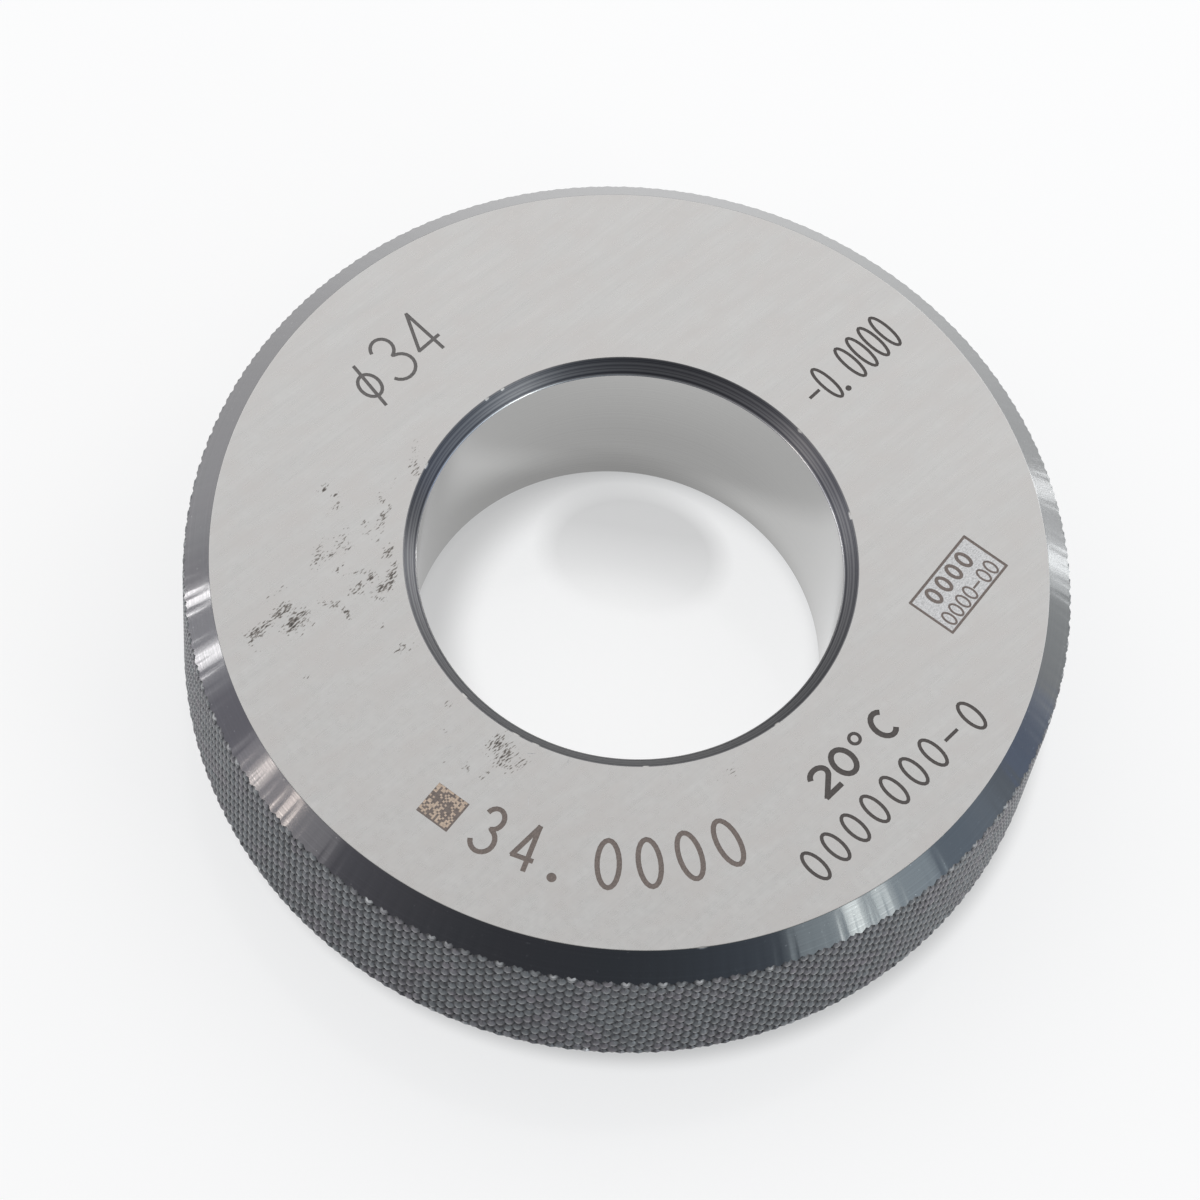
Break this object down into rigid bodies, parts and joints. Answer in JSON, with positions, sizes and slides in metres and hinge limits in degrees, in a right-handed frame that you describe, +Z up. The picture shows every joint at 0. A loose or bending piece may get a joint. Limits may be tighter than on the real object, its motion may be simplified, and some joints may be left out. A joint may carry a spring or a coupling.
{
  "type": "setting ring gauge",
  "caption": "Hardened steel ring with a lapped round bore, ground faces, chamfered edges and a diamond-knurled rim, used to set bore gauges to size.",
  "frame": {"origin": "middle of the lower face, on the axis of the bore", "axes": "+Z up the axis of the bore from the lower face to the upper face, +X to the right and +Y away from the viewer in the picture's view"},
  "size_m": [0.071, 0.071, 0.019],
  "materials": {
    "hardened_steel": "satin ground faces and lapped bore, black oxide on the knurl and chamfers"
  },
  "bodies": {
    "root": {"gauge_ring": "hardened_steel"}
  },
  "joints": []
}
